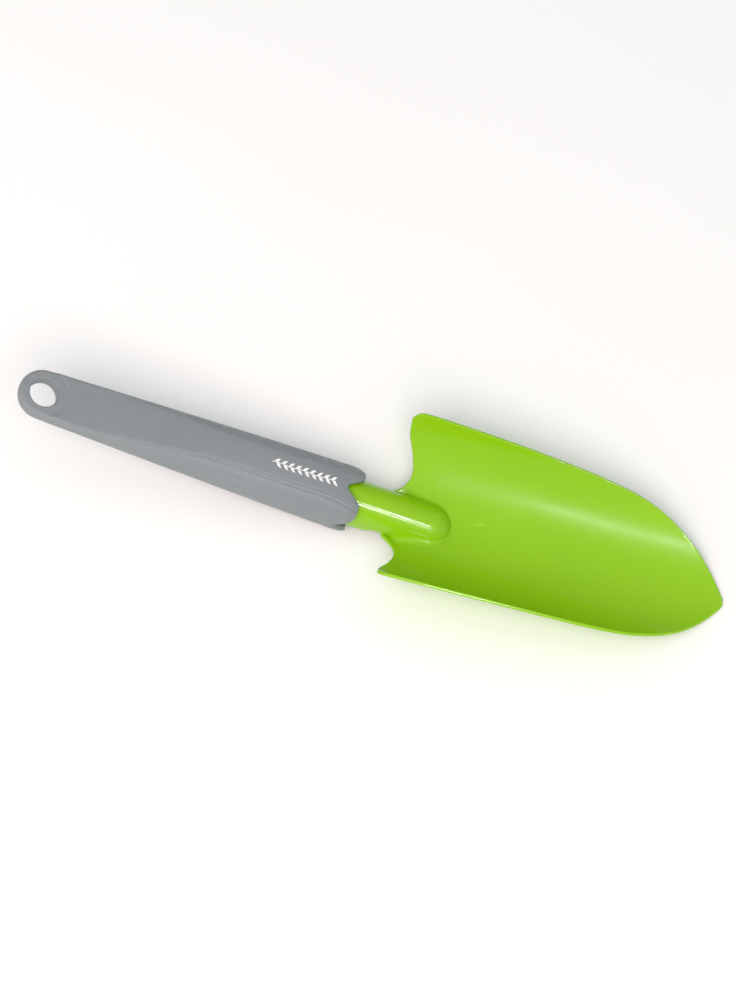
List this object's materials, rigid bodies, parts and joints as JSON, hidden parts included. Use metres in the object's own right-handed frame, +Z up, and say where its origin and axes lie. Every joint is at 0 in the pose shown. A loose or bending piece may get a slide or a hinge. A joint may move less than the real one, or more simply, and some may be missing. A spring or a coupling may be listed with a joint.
{
  "type": "hand trowel",
  "caption": "Hand trowel with a dished, pointed, painted steel blade and gutter neck in a hollow moulded grip that ends in a flat eye.",
  "frame": {"origin": "centre of the bounding box's bottom, on the bench that the tool lies on", "axes": "+X along the tool towards the blade's point, +Z up with the blade's hollow side up, +Y to the left of a person who holds the grip and looks at the point"},
  "size_m": [0.318, 0.0796, 0.0448],
  "materials": {
    "green_paint": "glossy yellow-green powder coat on pressed steel",
    "grey_plastic": "fine matt mid-grey moulded polypropylene",
    "zinc_steel": "bright zinc plate"
  },
  "bodies": {
    "root": {"head": "green_paint", "handle": "grey_plastic", "retaining_screw": "zinc_steel"}
  },
  "joints": []
}
